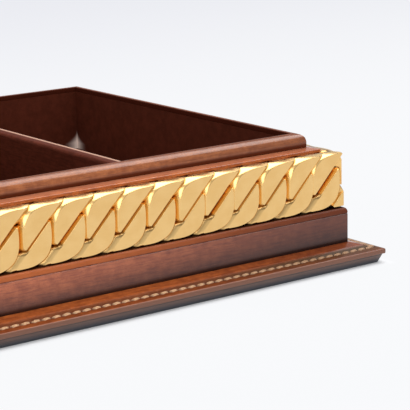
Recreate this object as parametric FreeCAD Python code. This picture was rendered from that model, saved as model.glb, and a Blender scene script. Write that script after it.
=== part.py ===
import FreeCAD, Part
import math
import os
from FreeCAD import Vector

# Valet tray: a leather-covered wooden tray with a stitched foot, a plinth, a gilt curb chain
# lying in the frieze, a ledge, an ovolo rim, and an open inside with equal compartments.
# Frame: X along the long side, Y towards the back, Z up. The origin is under the middle, on the table.
# Across a side, every profile point is (inset, height): inset is measured inwards from the outer
# edge of the foot, so one profile serves all four sides and meets its neighbours on a mitre.

# Overall
foot_length = 300.0
foot_width = 200.0

# Foot: a bevelled board with a stitched leather strip along each side
board_bottom_inset = 2.3
board_edge_inset = 0.9
foot_leather = 2.0
foot_edge_bottom = 3.3
foot_slope_rise = 2.4
plinth_inset = 10.0
foot_leather_tuck = 4.0
stitch_inset = 3.5
stitch_groove_width = 1.3
stitch_groove_depth = 0.35
stitch_arris_inset = 6.2
pad_thickness = 0.8
pad_inset = 8.0
pad_clearance = 0.2

# Plinth
plinth_height = 13.4
plinth_shoulder = 2.0
plinth_corner_radius = 1.2
crease_below_top = 2.4
crease_width = 0.5
crease_depth = 0.25

# Chain
chain_inset = 11.2
chain_thickness = 6.6
link_pitch_wanted = 12.5
link_height = 20.8
link_bevel_height = 0.3
link_bevel_length = 1.0
link_sides = 16
link_end_gap = 0.2
slot_angle = 46.0
slot_width = 0.7
layer_gap = 0.1
corner_link_inset = 1.3
pin_width = 1.5
pin_length = 4.5
pin_clearance = 0.05
pins_per_side = 2

# Case walls, ledge and rim
wall_thickness = 5.9
lining_thickness = 1.5
ledge_over_chain = 0.1
ledge_thickness = 1.0
ledge_overhang = 0.6
ledge_top_rise = 0.6
rim_setback = 3.6
rim_height = 5.2
rim_round = 3.4
rim_corner_radius = 1.2
rim_lip = 2.0

# Inside
floor_depth = 27.9
floor_board_thickness = 3.0
floor_pad_thickness = 1.5
compartments = 4
divider_thickness = 5.9
divider_below_rim = 6.2
divider_edge_radius = 1.3
bearer_width = 8.0
fit_gap = 0.1

# Screws that hold the case walls to the foot, hidden under the pad
screw_head_diameter = 6.5
screw_head_height = 2.2
screw_shank_diameter = 3.0
screw_length = 18.0
screw_clearance = 0.1
screw_end_distance = 55.0
screw_sides = 12

# How far a cutting shape reaches past what it cuts, and how close two edges count as level
cut_margin = 1.0
level = 0.01

# Levels and insets that follow from the sizes above
foot_edge_top = foot_edge_bottom + foot_leather
foot_top = foot_edge_top + foot_slope_rise
plinth_top = foot_top + plinth_height
frieze_inset = chain_inset + chain_thickness
wall_inner_inset = frieze_inset + wall_thickness
inside_inset = wall_inner_inset + lining_thickness
link_half_height = link_height / 2
chain_axis = plinth_top + link_half_height
chain_middle_inset = chain_inset + chain_thickness / 2
ledge_inset = frieze_inset - ledge_overhang
ledge_bottom = plinth_top + link_height + ledge_over_chain
ledge_edge_top = ledge_bottom + ledge_thickness
ledge_top = ledge_edge_top + ledge_top_rise
rim_inset = ledge_inset + rim_setback
rim_top = ledge_top + rim_height
rim_lip_bottom = rim_top - rim_lip
floor_level = rim_top - floor_depth
floor_board_top = floor_level - floor_pad_thickness
floor_board_bottom = floor_board_top - floor_board_thickness
divider_top = rim_top - divider_below_rim
inside_length = foot_length - 2 * inside_inset
inside_width = foot_width - 2 * inside_inset
compartment_length = (inside_length - (compartments - 1) * divider_thickness) / compartments

SIDES = {"front": 0, "right": 90, "back": 180, "left": 270}


def side_length(side):
    return foot_length if SIDES[side] % 180 == 0 else foot_width


def side_depth(side):
    return foot_width if SIDES[side] % 180 == 0 else foot_length


def turned(shape, side):
    """A shape built along the front, turned about the middle of the tray to its own side."""
    copy = shape.copy()
    copy.rotate(Vector(0, 0, 0), Vector(0, 0, 1), SIDES[side])
    return copy


def block(x0, x1, y0, y1, z0, z1):
    return Part.makeBox(x1 - x0, y1 - y0, z1 - z0, Vector(x0, y0, z0))


def inset_block(inset, z0, z1):
    """A block over the whole tray, set in by the same amount on every side."""
    x, y = foot_length / 2 - inset, foot_width / 2 - inset
    return block(-x, x, -y, y, z0, z1)


def rounded_block(inset, z0, z1, radius):
    """An inset block whose four upright corners are rounded, as leather folded round a board is."""
    sharp = inset_block(inset, z0, z1)
    upright = [edge for edge in sharp.Edges if edge.BoundBox.ZLength > level]
    return sharp.makeFillet(radius, upright)


def mitre_prism(side, z0, z1, clearance=0.0):
    """The wedge of space that belongs to one side, between its two mitre planes."""
    half = side_length(side) / 2 - clearance
    edge = -side_depth(side) / 2
    reach = inside_inset + cut_margin
    corners = [(-half, edge), (half, edge), (half - reach, edge + reach), (reach - half, edge + reach)]
    outline = Part.makePolygon([Vector(x, y, z0) for x, y in corners + corners[:1]])
    return Part.Face(outline).extrude(Vector(0, 0, z1 - z0))


def profile_face(edges, side):
    """A flat face across the left end of one side, from edges drawn as (inset, height)."""
    face = Part.Face(Part.Wire(edges))
    face.rotate(Vector(0, 0, 0), Vector(1, 0, 0), 90)
    face.rotate(Vector(0, 0, 0), Vector(0, 0, 1), 90)
    face.translate(Vector(-side_length(side) / 2, -side_depth(side) / 2, 0))
    return face


def line(start, end):
    return Part.LineSegment(Vector(*start, 0), Vector(*end, 0)).toShape()


def polyline(points):
    return [line(a, b) for a, b in zip(points, points[1:])]


def moulding(edges, side):
    """A profile run along one side and mitred at both ends."""
    bar = profile_face(edges, side).extrude(Vector(side_length(side), 0, 0))
    box = bar.BoundBox
    wedge = mitre_prism(side, box.ZMin - cut_margin, box.ZMax + cut_margin)
    return turned(bar.common(wedge), side)


# Foot


def foot_surface(inset, below=0.0):
    """Height of the foot's sloping top, or of a surface the given depth under it."""
    slope = foot_slope_rise / plinth_inset
    return foot_edge_top + slope * min(inset, plinth_inset) - below


def foot_leather_edges():
    """Leather strip: burnished edge, lip, stitch groove, arris, slope and a flat tuck under the plinth.

    The tight thread draws the leather down, so that it falls from the arris straight into the groove.
    """
    tuck = plinth_inset + foot_leather_tuck
    near = stitch_inset - stitch_groove_width / 2
    far = stitch_inset + stitch_groove_width / 2
    return polyline([
        (0, foot_edge_bottom),
        (0, foot_edge_top),
        (near, foot_surface(near)),
        (near, foot_surface(near, stitch_groove_depth)),
        (far, foot_surface(far, stitch_groove_depth)),
        (stitch_arris_inset, foot_surface(stitch_arris_inset)),
        (plinth_inset, foot_top),
        (tuck, foot_top),
        (tuck, foot_top - foot_leather),
        (plinth_inset, foot_top - foot_leather),
        (0, foot_edge_bottom),
    ])


def rectangle_wire(inset, z):
    x, y = foot_length / 2 - inset, foot_width / 2 - inset
    corners = [(-x, -y), (x, -y), (x, y), (-x, y), (-x, -y)]
    return Part.makePolygon([Vector(px, py, z) for px, py in corners])


def screw_places():
    """Under the middle of each long wall's thickness, near its two ends."""
    y = foot_width / 2 - (frieze_inset + wall_inner_inset) / 2
    x = foot_length / 2 - screw_end_distance
    return [Vector(i * x, j * y, 0) for i in (-1, 1) for j in (-1, 1)]


def flat_sided_rod(radius, z0, z1):
    """A round rod cut in flats, standing on its axis."""
    turns = [2 * math.pi * i / screw_sides for i in range(screw_sides + 1)]
    outline = Part.makePolygon([Vector(radius * math.cos(t), radius * math.sin(t), z0) for t in turns])
    return Part.Face(outline).extrude(Vector(0, 0, z1 - z0))


def screw(grow=0.0):
    """Cheese-head screw, or with grow the stepped hole that takes it."""
    head_top = pad_thickness + screw_head_height + grow
    tip = pad_thickness + screw_length + grow
    head = flat_sided_rod(screw_head_diameter / 2 + grow, pad_thickness, head_top)
    shank = flat_sided_rod(screw_shank_diameter / 2 + grow, pad_thickness, tip)
    return head.fuse(shank).removeSplitter()


def at_places(shape, places):
    copies = []
    for place in places:
        copy = shape.copy()
        copy.translate(place)
        copies.append(copy)
    return Part.makeCompound(copies)


def foot_board():
    """Board with an undercut bevel, a sloping top under the leather and a raised middle."""
    tuck = plinth_inset + foot_leather_tuck
    bevel_top = foot_surface(board_edge_inset, foot_leather)
    sole = rectangle_wire(board_bottom_inset, 0)
    edge = rectangle_wire(board_edge_inset, bevel_top)
    shelf = rectangle_wire(plinth_inset, foot_top - foot_leather)
    lower = Part.makeLoft([sole, edge], True, True)
    upper = Part.makeLoft([edge, shelf], True, True)
    middle = inset_block(tuck, foot_top - foot_leather, foot_top)
    board = lower.fuse([upper, middle])
    recess = inset_block(pad_inset - pad_clearance, -cut_margin, pad_thickness)
    return board.cut([recess, at_places(screw(screw_clearance), screw_places())]).removeSplitter()


# Plinth, case walls, ledge and rim


def quarter_round(centre, radius):
    """The outer upper quarter of a circle, from its outermost point to its top."""
    outermost = centre - Vector(radius, 0, 0)
    middle = centre + Vector(-radius, radius, 0) * math.sqrt(0.5)
    return Part.Arc(outermost, middle, centre + Vector(0, radius, 0)).toShape()


def plinth_edges():
    """Upright board with a creased line under the rounded shoulder of its outer top edge."""
    r = plinth_shoulder
    crease = plinth_top - crease_below_top
    shoulder = quarter_round(Vector(plinth_inset + r, plinth_top - r, 0), r)
    face = polyline([
        (plinth_inset, foot_top),
        (plinth_inset, crease - crease_width / 2),
        (plinth_inset + crease_depth, crease),
        (plinth_inset, crease + crease_width / 2),
        (plinth_inset, plinth_top - r),
    ])
    top_and_back = polyline([
        (plinth_inset + r, plinth_top),
        (frieze_inset, plinth_top),
        (frieze_inset, foot_top),
        (plinth_inset, foot_top),
    ])
    return face + [shoulder] + top_and_back


def plinth(side):
    form = rounded_block(plinth_inset, foot_top, plinth_top, plinth_corner_radius)
    return moulding(plinth_edges(), side).common(form)


def wall_edges():
    return polyline([
        (frieze_inset, foot_top),
        (frieze_inset, ledge_bottom),
        (wall_inner_inset, ledge_bottom),
        (wall_inner_inset, foot_top),
        (frieze_inset, foot_top),
    ])


def ledge_edges():
    """Thin fillet whose top sheds slightly outwards, standing a little proud of the frieze."""
    return polyline([
        (ledge_inset, ledge_bottom),
        (ledge_inset, ledge_edge_top),
        (rim_inset, ledge_top),
        (wall_inner_inset, ledge_top),
        (wall_inner_inset, ledge_bottom),
        (ledge_inset, ledge_bottom),
    ])


def rim_edges():
    """Ovolo: an upright foot, a quarter round, a narrow flat top and a lip over the lining."""
    r = rim_round
    upright = polyline([(rim_inset, ledge_top), (rim_inset, rim_top - r)])
    top_and_lip = polyline([
        (rim_inset + r, rim_top),
        (inside_inset, rim_top),
        (inside_inset, rim_lip_bottom),
        (wall_inner_inset, rim_lip_bottom),
        (wall_inner_inset, ledge_top),
        (rim_inset, ledge_top),
    ])
    return upright + [quarter_round(Vector(rim_inset + r, rim_top - r, 0), r)] + top_and_lip


def rim(side):
    form = rounded_block(rim_inset, ledge_top, rim_top, rim_corner_radius)
    return moulding(rim_edges(), side).common(form)


def lining_edges():
    return polyline([
        (wall_inner_inset, floor_board_top),
        (wall_inner_inset, rim_lip_bottom),
        (inside_inset, rim_lip_bottom),
        (inside_inset, floor_board_top),
        (wall_inner_inset, floor_board_top),
    ])


# Chain


def run_length(side):
    """Distance between the middles of the two corner links of one side."""
    return side_length(side) - 2 * (chain_inset + corner_link_inset)


def link_pitch(side):
    return run_length(side) / round(run_length(side) / link_pitch_wanted)


def oval(length, height, y):
    """An oval outline in the plane of the side, cut in flats as on a ground link."""
    turns = [2 * math.pi * i / link_sides for i in range(link_sides + 1)]
    return Part.makePolygon([Vector(length / 2 * math.cos(t), y, height / 2 * math.sin(t)) for t in turns])


def channel(half_width, y0, y1, angle):
    """A straight channel across the link, at the given angle to the chain's axis."""
    reach = 2 * link_height
    bar = block(-reach, reach, y0, y1, -half_width, half_width)
    bar.rotate(Vector(0, 0, 0), Vector(0, 1, 0), -angle)
    return bar


def chain_link(pitch):
    """One curb link: an oval ground flat back and front, with a slanting channel on each face.

    The front channel takes a limb of each neighbour, and the back one, which slants the other way, takes
    their other limbs, so that the links hold each other. Where the two channels cross, the link is open.
    """
    half = chain_thickness / 2
    length = 2 * pitch - link_end_gap
    flat_length = length - 2 * link_bevel_length
    flat_height = link_height - 2 * link_bevel_height
    front_flat = oval(flat_length, flat_height, -half)
    girth = oval(length, link_height, 0)
    back_flat = oval(flat_length, flat_height, half)
    disc = Part.makeLoft([front_flat, girth, back_flat], True, True)
    half_width = pitch / 2 * math.sin(math.radians(slot_angle)) + slot_width / 2
    front = channel(half_width, -chain_thickness, layer_gap / 2, slot_angle)
    back = channel(half_width, -layer_gap / 2, chain_thickness, -slot_angle)
    return disc.cut([front, back])


def placed_link(link, side, place):
    copy = link.copy()
    copy.translate(Vector(place, -side_depth(side) / 2 + chain_middle_inset, chain_axis))
    return copy


def link_places(side):
    """Middles of the links along one side, the corner links included."""
    count = round(run_length(side) / link_pitch(side))
    return [(i - count / 2) * link_pitch(side) for i in range(count + 1)]


def chain_wedge(side, clearance):
    return mitre_prism(side, plinth_top - cut_margin, ledge_top + cut_margin, clearance)


def chain_run(side):
    """The whole links of one side; those beside a corner are trimmed where the chain turns."""
    link = chain_link(link_pitch(side))
    places = link_places(side)[1:-1]
    wedge = chain_wedge(side, link_end_gap)
    links = [placed_link(link, side, place) for place in places]
    for end in (0, -1):
        links[end] = links[end].common(wedge)
    return turned(Part.makeCompound(links), side)


def half_corner_link(side, end):
    link = placed_link(chain_link(link_pitch(side)), side, link_places(side)[end])
    return turned(link.common(chain_wedge(side, 0)), side)


def corner_links():
    """A link is bent round each corner: half of it lies on either side."""
    order = list(SIDES)
    corners = []
    for side, following in zip(order, order[1:] + order[:1]):
        corners.append(half_corner_link(side, -1).fuse(half_corner_link(following, 0)).removeSplitter())
    return Part.makeCompound(corners)


def pin_places(side):
    """Behind the upper back limb of some links, spread evenly along the side."""
    places = link_places(side)
    share = (len(places) - 1) / pins_per_side
    chosen = [places[round(share * i + share / 2)] for i in range(pins_per_side)]
    off = link_half_height / 2
    return [Vector(place + off, -side_depth(side) / 2 + frieze_inset, chain_axis + off) for place in chosen]


def pins(side, grow=0.0):
    """Square pins from the links' backs into the wall, or with grow the holes that take them."""
    half = pin_width / 2 + grow
    pin = block(-half, half, 0, pin_length + grow, -half, half)
    return turned(at_places(pin, pin_places(side)), side)


# Inside


def floor_board():
    return inset_block(wall_inner_inset + fit_gap, floor_board_bottom, floor_board_top)


def floor_bearers():
    """Strips along the long walls and across the middle, on the foot board and under the floor."""
    x = foot_length / 2 - wall_inner_inset
    y = foot_width / 2 - wall_inner_inset
    side_strip = [block(-x, x, y - bearer_width, y, foot_top, floor_board_bottom),
                  block(-x, x, -y, bearer_width - y, foot_top, floor_board_bottom)]
    middle = block(-bearer_width / 2, bearer_width / 2, bearer_width - y, y - bearer_width,
                   foot_top, floor_board_bottom)
    return Part.makeCompound(side_strip + [middle])


def compartment_start(index):
    return -inside_length / 2 + index * (compartment_length + divider_thickness)


def divider(index):
    """Board from front to back, rounded along its top edges."""
    x0 = compartment_start(index) - divider_thickness
    y = inside_width / 2
    board = block(x0, x0 + divider_thickness, -y, y, floor_board_top, divider_top)
    top_edges = [e for e in board.Edges if e.BoundBox.ZMin > divider_top - level and e.BoundBox.YLength > y]
    return board.makeFillet(divider_edge_radius, top_edges)


def floor_pad(index):
    x0 = compartment_start(index) + fit_gap
    y = inside_width / 2 - fit_gap
    return block(x0, x0 + compartment_length - 2 * fit_gap, -y, y, floor_board_top, floor_level)


def build():
    nodes = {
        "foot_board": foot_board(),
        "foot_pad": inset_block(pad_inset, 0, pad_thickness),
        "foot_screws": at_places(screw(), screw_places()),
        "chain_corner_links": corner_links(),
        "floor_board": floor_board(),
        "floor_bearers": floor_bearers(),
    }
    screw_holes = at_places(screw(screw_clearance), screw_places())
    for side in SIDES:
        nodes[f"foot_leather_{side}"] = moulding(foot_leather_edges(), side)
        nodes[f"plinth_{side}"] = plinth(side)
        nodes[f"wall_{side}"] = moulding(wall_edges(), side).cut([pins(side, pin_clearance), screw_holes])
        nodes[f"ledge_{side}"] = moulding(ledge_edges(), side)
        nodes[f"rim_{side}"] = rim(side)
        nodes[f"wall_lining_{side}"] = moulding(lining_edges(), side)
        nodes[f"chain_{side}"] = chain_run(side)
        nodes[f"chain_pins_{side}"] = pins(side)
    for index in range(1, compartments):
        nodes[f"divider_{index}"] = divider(index)
    for index in range(compartments):
        nodes[f"floor_pad_{index + 1}"] = floor_pad(index)
    return nodes


def main():
    os.makedirs("parts", exist_ok=True)
    for name, shape in build().items():
        shape.exportStep(f"parts/{name}.step")
        print(f"{name}: {len(shape.Solids)} solids, {shape.Volume / 1000:.2f} cm3, valid {shape.isValid()}")


main()
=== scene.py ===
# %% [markdown]
# # A leather valet tray with a gilt curb chain
#
# The tray stands on a foot covered in stitched leather. Above it come a plinth, a heavy curb chain that
# lies in the frieze, a thin ledge and a rounded rim, and the inside is divided into four compartments.
# The construction is already modelled as solids, and they arrive here as a fixed frame. What is added
# here is what the eye looks for: soft edges, thread, ground and polished links, leather, gilding, light.

import math

import bmesh
import bpy
import numpy as np
from mathutils import Matrix, Vector


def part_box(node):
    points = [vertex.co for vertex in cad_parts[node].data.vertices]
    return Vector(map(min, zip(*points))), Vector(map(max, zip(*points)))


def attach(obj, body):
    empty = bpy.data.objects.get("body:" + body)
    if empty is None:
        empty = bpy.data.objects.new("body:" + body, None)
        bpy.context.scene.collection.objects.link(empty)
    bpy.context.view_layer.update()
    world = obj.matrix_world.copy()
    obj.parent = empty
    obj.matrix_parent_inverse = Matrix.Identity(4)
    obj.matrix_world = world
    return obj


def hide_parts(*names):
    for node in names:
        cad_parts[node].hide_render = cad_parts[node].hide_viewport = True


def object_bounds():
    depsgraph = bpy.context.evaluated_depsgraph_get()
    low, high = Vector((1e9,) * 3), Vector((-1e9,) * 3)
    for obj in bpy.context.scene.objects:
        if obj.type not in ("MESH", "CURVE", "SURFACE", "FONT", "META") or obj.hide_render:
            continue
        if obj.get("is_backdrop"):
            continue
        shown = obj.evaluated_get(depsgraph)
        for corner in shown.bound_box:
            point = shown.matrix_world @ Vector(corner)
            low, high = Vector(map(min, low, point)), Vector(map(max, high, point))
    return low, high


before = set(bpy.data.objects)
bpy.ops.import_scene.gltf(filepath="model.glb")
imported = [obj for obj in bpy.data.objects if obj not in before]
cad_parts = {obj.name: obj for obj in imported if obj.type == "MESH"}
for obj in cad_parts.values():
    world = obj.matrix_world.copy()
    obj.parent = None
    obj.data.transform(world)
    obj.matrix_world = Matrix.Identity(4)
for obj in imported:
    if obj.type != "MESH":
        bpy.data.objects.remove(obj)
frame_box = [list(corner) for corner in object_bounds()]
print("nodes in the frame:", len(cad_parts))

# %% [markdown]
# ## Sizes
#
# Every moulding runs round the tray and meets its neighbours on a mitre, so one pair of numbers places
# any point of a profile: how far it lies inside the outer edge of the foot, which is called its inset
# here, and its height. Both are read from the boxes of the front pieces, so that nothing has to be fitted.

# %% Sizes read from the frame
MM = 0.001
SIDES = {"front": 0, "right": 90, "back": 180, "left": 270}
foot_low, foot_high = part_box("foot_leather_front")
half_length, half_width = foot_high.x, -foot_low.y


def section(node):
    """(outer inset, inner inset, bottom, top) of a piece on the front side, in metres."""
    low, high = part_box(node)
    return low.y + half_width, high.y + half_width, low.z, high.z


def halves(side):
    """Half the length of a side, and the distance from the middle of the tray to it."""
    return (half_length, half_width) if SIDES[side] % 180 == 0 else (half_width, half_length)


plinth_inset, frieze_inset, foot_top, plinth_top = section("plinth_front")
ledge_inset, wall_inner_inset, ledge_bottom, ledge_top = section("ledge_front")
rim_inset, inside_inset, _, rim_top = section("rim_front")
chain_inset, chain_back, chain_bottom, chain_top = section("chain_front")
print(f"tray {2 * half_length / MM:.0f} x {2 * half_width / MM:.0f} x {rim_top / MM:.1f} mm")

# %% [markdown]
# ## Camera
#
# The photograph was taken with a long lens from the front left, a little above the tray. The numbers below
# come from matching the straight edges of the mouldings: where the lens stood, where it pointed, and how
# far it was rolled. A long focal length keeps the edges nearly parallel, as they are in the photograph.

# %% Camera
camera_place = Vector((-260.73, -546.12, 163.82)) * MM
camera_azimuth, camera_tilt, camera_roll = math.radians(36.249), math.radians(13.115), math.radians(-1.187)
sensor_width = 36.0
focal_length = 146.2

level_right = Vector((math.cos(camera_azimuth), -math.sin(camera_azimuth), 0))
forward = Vector((math.sin(camera_azimuth), math.cos(camera_azimuth), 0)) * math.cos(camera_tilt)
forward.z = -math.sin(camera_tilt)
level_up = level_right.cross(forward)
right = level_right * math.cos(camera_roll) + level_up * math.sin(camera_roll)
up = right.cross(forward)

camera = bpy.data.objects.new("camera", bpy.data.cameras.new("camera"))
camera.data.lens, camera.data.sensor_width = focal_length, sensor_width
camera.data.clip_start, camera.data.clip_end = 0.01, 50
camera.matrix_world = Matrix.Translation(camera_place) @ Matrix((right, up, -forward)).transposed().to_4x4()
bpy.context.scene.collection.objects.link(camera)
bpy.context.scene.camera = camera
bpy.context.scene.view_settings.view_transform = "Standard"
print("camera looks along", [round(x, 3) for x in forward])

# %% [markdown]
# ## A small language for materials
#
# A Blender material is a graph of nodes, and written call by call it is hard to read. Here a number that
# varies over a surface is a Python value: adding or multiplying it adds the Math node that does the same.
# Everything that isn't arithmetic comes from one method, which makes a node, sets it and feeds it.


# %% Values and finishes
class Value:
    """A number or colour that varies over a surface; arithmetic on it adds Math nodes."""

    def __init__(self, finish, socket):
        self.finish, self.socket = finish, socket

    def math(self, operation, *terms):
        """A Math node with these terms, each a number or a Value."""
        return self.finish.node("ShaderNodeMath", {"operation": operation}, dict(enumerate(terms)), 0)

    def __add__(self, other):
        return self.math("ADD", self, other)

    def __sub__(self, other):
        return self.math("SUBTRACT", self, other)

    def __rsub__(self, other):
        return self.math("SUBTRACT", other, self)

    def __mul__(self, other):
        return self.math("MULTIPLY", self, other)

    def __pow__(self, other):
        return self.math("POWER", self, other)

    def __abs__(self):
        return self.math("ABSOLUTE", self)

    __radd__, __rmul__ = __add__, __mul__


class Finish:
    """A new material, or the world, being built: node() adds any node, and surface() closes a material."""

    def __init__(self, name, library=bpy.data.materials):
        self.owner = library.new(name)
        self.owner.use_nodes = True
        self.tree = self.owner.node_tree
        self.tree.nodes.clear()

    def node(self, kind, settings, inputs, *outputs):
        """Adds a node, sets it, feeds its sockets with numbers or Values, and returns the outputs named."""
        made = self.tree.nodes.new(kind)
        for name, setting in settings.items():
            setattr(made, name, setting)
        for name, given in inputs.items():
            if isinstance(given, Value):
                self.tree.links.new(given.socket, made.inputs[name])
            else:
                made.inputs[name].default_value = given
        values = [Value(self, made.outputs[name]) for name in outputs]
        return values[0] if len(values) == 1 else values

    def surface(self, numbers, links):
        """The Principled shader: numbers go on its sockets, and what varies is linked to them."""
        shader = self.node("ShaderNodeBsdfPrincipled", {}, {**numbers, **links}, 0)
        self.node("ShaderNodeOutputMaterial", {}, {"Surface": shader})
        print("finish:", self.owner.name, "with", len(self.tree.nodes), "nodes")
        return self.owner


def rgb(red, green, blue):
    """A colour written as on a screen, 0 to 255, as the linear numbers that a shader works with."""
    screen = np.array([red, green, blue]) / 255
    linear = np.where(screen <= 0.04045, screen / 12.92, ((screen + 0.055) / 1.055) ** 2.4)
    return (*linear.tolist(), 1.0)


# %% [markdown]
# ## Where a point lies
#
# Dye, dirt and wear on a tray follow its shape: they gather in an angle, along a seam or near a corner. So
# most masks are worked out from the point's own place, from its place in the flat map of its piece, whose
# first coordinate runs along the moulding, or from a number that the mesh carries at each of its points.


# %% Places
def object_position(finish):
    """The point in metres: no piece is moved or turned, so this is its place on the tray."""
    return finish.node("ShaderNodeTexCoord", {}, {}, "Object")


def flat_position(finish):
    """The point in the flat map of its piece, also in metres."""
    return finish.node("ShaderNodeUVMap", {"uv_map": "flat"}, {}, 0)


def coordinates(finish):
    """x, y and z of the point, each a Value."""
    return finish.node("ShaderNodeSeparateXYZ", {}, {"Vector": object_position(finish)}, 0, 1, 2)


def mark(finish, name):
    """The number, from 0 to 1, that the mesh carries under this name."""
    return finish.node("ShaderNodeAttribute", {"attribute_name": name}, {}, "Fac")


def smaller(first, second):
    """The smaller of two numbers; the first is a Value."""
    return first.math("MINIMUM", first, second)


def larger(first, second):
    """The larger of two numbers; the first is a Value."""
    return first.math("MAXIMUM", first, second)


def inset_and_height(finish):
    """How far inside the foot's outer edge a point lies, and how high, both in metres."""
    x, y, z = coordinates(finish)
    return smaller(half_length - abs(x), half_width - abs(y)), z


# %% [markdown]
# ## Patterns that leather, wood and metal share
#
# Almost every natural finish is noise at a few sizes. A pattern here is asked for by the size of its marks
# in metres, so the grain of a hide stays the grain of a hide on every piece. Noise with a different size
# along each axis makes streaks. A pattern becomes a mask by a smooth step between two of its values.


# %% Patterns and masks
def scaled(finish, position, factors):
    """The position times a factor for each axis: with 1 / size, marks of size 1 come out of that size."""
    return finish.node("ShaderNodeMapping", {"vector_type": "POINT"},
                       {"Vector": position, "Scale": factors}, 0)


def noise(finish, position, size, detail=3.0, roughness=0.5):
    """Cloudy pattern from 0 to 1 whose marks are about size across, or sizes along each axis."""
    sizes = size if isinstance(size, tuple) else (size, size, size)
    place = scaled(finish, position, tuple(1 / s for s in sizes))
    return finish.node("ShaderNodeTexNoise", {}, {"Vector": place, "Scale": 1.0, "Detail": detail,
                                                  "Roughness": roughness}, "Fac")


def pebbles(finish, position, size):
    """Distance pattern of packed cells about size across: 0 in the middle of a cell."""
    place = scaled(finish, position, (1 / size, 1 / size, 1 / size))
    return finish.node("ShaderNodeTexVoronoi", {"feature": "F1"}, {"Vector": place, "Scale": 1.0}, "Distance")


def step(finish, value, low, high):
    """0 below low, 1 above high, and a smooth rise between."""
    return finish.node("ShaderNodeMapRange", {"interpolation_type": "SMOOTHSTEP"},
                       {"Value": value, "From Min": low, "From Max": high}, 0)


def band(finish, value, middle, inner, outer):
    """1 where value is within inner of middle, 0 where it is more than outer from it."""
    return 1 - step(finish, abs(value - middle), inner, outer)


def mixed(finish, share, first, second):
    """One colour turned into another by share.

    A Mix node has sockets for every kind of value: for colours the inputs are 0, 6 and 7, the output 2.
    """
    return finish.node("ShaderNodeMix", {"data_type": "RGBA", "blend_type": "MIX"},
                       {0: share, 6: first, 7: second}, 2)


def bumped(finish, height, depth, below=None):
    """A normal that leans as if the surface rose by depth where height is 1."""
    inputs = {"Height": height, "Distance": depth}
    if below is not None:
        inputs["Normal"] = below
    return finish.node("ShaderNodeBump", {}, inputs, 0)


# %% [markdown]
# ## Burnished leather
#
# The foot, ledge and rim are covered in chestnut calf that was rubbed with wax until it shone. Up close it
# has fine pores, soft clouds where the dye took unevenly, and faint streaks along the strip where the bone
# folder passed. The hide itself hardly reflects. All its shine is the wax, a clear coat. Every strip has its
# own recipe for the dye, the wax, and the light and shade painted into its colour.


# %% How a hide is built up
cloud_size, fine_size, pore_size = 3.5 * MM, 0.45 * MM, 0.55 * MM
streak_size, pull_size = (9 * MM, 0.8 * MM, 1), (22 * MM, 5 * MM, 1)
wax = {"Coat Roughness": 0.17, "IOR": 1.08}


def leather(name, deep, bright, streak, roughness, shades):
    """Dyed leather from three colours: clouds from deep to bright, darkened by streaks along the piece.

    shades(finish, colour) returns the colour as it changes over the strip, and the share of wax on it. The
    relief adds up: a slow pull of the hide along the strip, then its fine grain, then its pores.
    """
    finish = Finish(name)
    place, flat = object_position(finish), flat_position(finish)
    clouds = step(finish, noise(finish, place, cloud_size, detail=5, roughness=0.6), 0.25, 0.75)
    fine = noise(finish, place, fine_size, detail=2)
    streaks = noise(finish, flat, streak_size, detail=5, roughness=0.7)
    colour = mixed(finish, clouds, deep, bright)
    colour = mixed(finish, step(finish, streaks, 0.42, 0.68) * 0.6, colour, streak)
    colour = mixed(finish, step(finish, fine, 0.5, 0.75) * 0.3, colour, streak)
    colour, waxed = shades(finish, colour)
    normal = bumped(finish, noise(finish, flat, pull_size, detail=2), 0.25 * MM)
    normal = bumped(finish, fine, 0.02 * MM, normal)
    normal = bumped(finish, step(finish, pebbles(finish, place, pore_size), 0.0, 0.35), 0.015 * MM, normal)
    shine = roughness + (fine - 0.5) * 0.2 + (streaks - 0.5) * 0.15
    return finish.surface(wax, {"Base Color": colour, "Roughness": shine, "Normal": normal,
                                "Coat Weight": waxed})


# %% Corners of the tray
dark_within = 8 * MM


def near_corner(finish, reach):
    """1 near the corners of the tray, falling to 0 at the distance reach from them."""
    x, y, _ = coordinates(finish)
    from_corner = larger(half_length - abs(x), half_width - abs(y))
    return 1 - step(finish, from_corner, dark_within, reach)


def shade_towards_corners(finish, colour, dark, share, reach=120 * MM):
    """Painted shade: the colour darkens towards the corners of the tray, as if less light reached them."""
    return mixed(finish, near_corner(finish, reach) * share, colour, dark)


# %% Foot, ledge and rim leather
# Where the groove of the seam gets painted shade, and where the burnished lip lies.
groove_shade, groove_shade_reach = 4.2 * MM, (0.9 * MM, 2.2 * MM)
lip_stain, lip_stain_reach = 1.6 * MM, (0.6 * MM, 1.5 * MM)


def foot_shades(finish, colour):
    """Edge of the strip burnished to a dull brown, painted shade in the groove of the seam, and a
    burnished lip between the two.

    Both marks are bands of the inset. Towards the corners they deepen and turn to a duller brown, which is
    painted shade.
    """
    inset, _ = inset_and_height(finish)
    colour = shade_towards_corners(finish, colour, rgb(70, 26, 22), 0.55)
    edge = 1 - step(finish, inset, 0.05 * MM, 0.7 * MM)
    burnished = mixed(finish, edge, colour, rgb(124, 84, 67))
    # Painted shade in the groove of the seam, with more of it towards the corners.
    seam = band(finish, inset, groove_shade, *groove_shade_reach)
    lip = band(finish, inset, lip_stain, *lip_stain_reach)
    near = near_corner(finish, 110 * MM)
    shade_and_burnish = (seam + lip * 0.7) * (0.7 + near * 0.25)
    shade_and_burnish_colour = mixed(finish, near, rgb(66, 28, 16), rgb(74, 56, 38))
    return mixed(finish, shade_and_burnish, burnished, shade_and_burnish_colour), 0.65 - shade_and_burnish * 0.55


def ledge_shades(finish, colour):
    """Painted sheen: the top of the ledge is paler than its arris, as if lit from above, and stays so up to
    the corners.
    """
    inset, _ = inset_and_height(finish)
    top_sheen = step(finish, inset, ledge_inset + 0.6 * MM, ledge_inset + 1.4 * MM)
    colour = mixed(finish, top_sheen * 0.45, colour, rgb(178, 120, 98))
    return shade_towards_corners(finish, colour, rgb(112, 48, 22), 0.25), 1.0


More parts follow.
